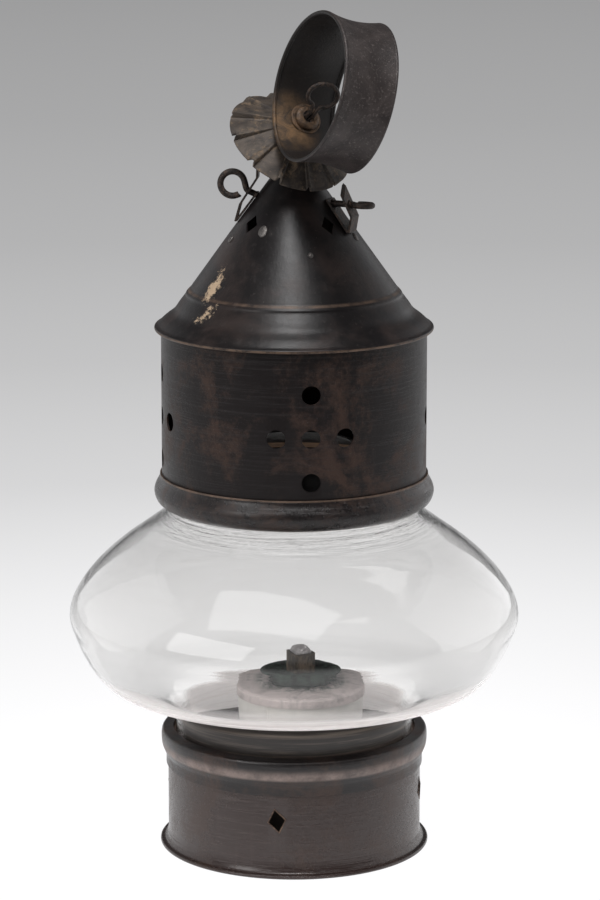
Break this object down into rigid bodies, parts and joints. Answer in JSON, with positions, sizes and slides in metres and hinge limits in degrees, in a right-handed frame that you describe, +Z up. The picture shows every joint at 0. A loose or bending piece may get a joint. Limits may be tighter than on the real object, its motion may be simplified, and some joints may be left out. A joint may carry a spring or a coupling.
{
  "type": "onion lantern",
  "caption": "Sheet-iron hand lantern: squat round glass globe between pierced drums, cone roof with a pleated smoke hood, strap ring handle and an oil lamp that drops out of the base.",
  "frame": {"origin": "middle of the foot's lower edge, on the lantern's axis", "axes": "+Z up the lantern's axis; the front, as pictured, faces -Y; +X is to the right"},
  "size_m": [0.1916, 0.1916, 0.3612],
  "materials": {
    "base_iron": "worn dark japanning over sheet iron",
    "drum_iron": "dark japanning with reddish-brown mottling",
    "roof_iron": "dark satin japanning with worn tan patches",
    "hood_iron": "matt grey-brown, worn and sooty",
    "ring_iron": "grey-brown satin with fine speckle",
    "wire_iron": "dark rusted wire",
    "globe_glass": "clear blown glass",
    "plaster": "matt grey bedding plaster",
    "tin": "dull tinned sheet",
    "burner_brass": "dark brass with verdigris",
    "wick_cotton": "pale cotton with a charred end"
  },
  "bodies": {
    "lantern": {"base_shell": "base_iron", "lower_collar": "base_iron", "lower_bedding": "plaster", "globe": "globe_glass", "upper_bedding": "plaster", "upper_collar": "drum_iron", "upper_drum": "drum_iron", "draught_cone": "drum_iron", "cone_roof": "roof_iron", "left_strap": "hood_iron", "right_strap": "hood_iron", "smoke_hood": "hood_iron", "handle_pin": "wire_iron"},
    "ring": {"ring_handle": "ring_iron", "handle_washer": "hood_iron"},
    "left_eye_wire": {"left_eye": "wire_iron"},
    "right_eye_wire": {"right_eye": "wire_iron"},
    "lamp": {"bottom_pan": "base_iron", "left_catch": "tin", "right_catch": "tin", "font_body": "tin", "font_top": "tin", "burner_collar": "burner_brass"},
    "burner": {"burner_dish": "burner_brass", "wick_tube": "burner_brass"},
    "wick_cord": {"wick": "wick_cotton"}
  },
  "joints": [
    {"name": "ring_swivel", "type": "hinge", "parent": "lantern", "child": "ring", "pos_m": [0.0031, -0.0086, 0.3122], "axis": [0.4505, -0.7497, 0.4848], "continuous": true},
    {"name": "left_eye_turn", "type": "hinge", "parent": "lantern", "child": "left_eye_wire", "pos_m": [-0.019, 0.00166, 0.2822], "axis": [-0.9101, 0.0796, 0.4067], "continuous": true},
    {"name": "right_eye_turn", "type": "hinge", "parent": "lantern", "child": "right_eye_wire", "pos_m": [0.02297, -0.01071, 0.2784], "axis": [0.9063, -0.4226, 0], "continuous": true},
    {"name": "lamp_drop", "type": "slide", "parent": "lantern", "child": "lamp", "axis": [0, 0, -1], "range_m": [0, 0.092]},
    {"name": "burner_lift", "type": "slide", "parent": "lamp", "child": "burner", "axis": [0, 0, 1], "range_m": [0, 0.02]},
    {"name": "wick_slide", "type": "slide", "parent": "burner", "child": "wick_cord", "axis": [0, 0, 1], "range_m": [-0.003, 0.004]}
  ]
}
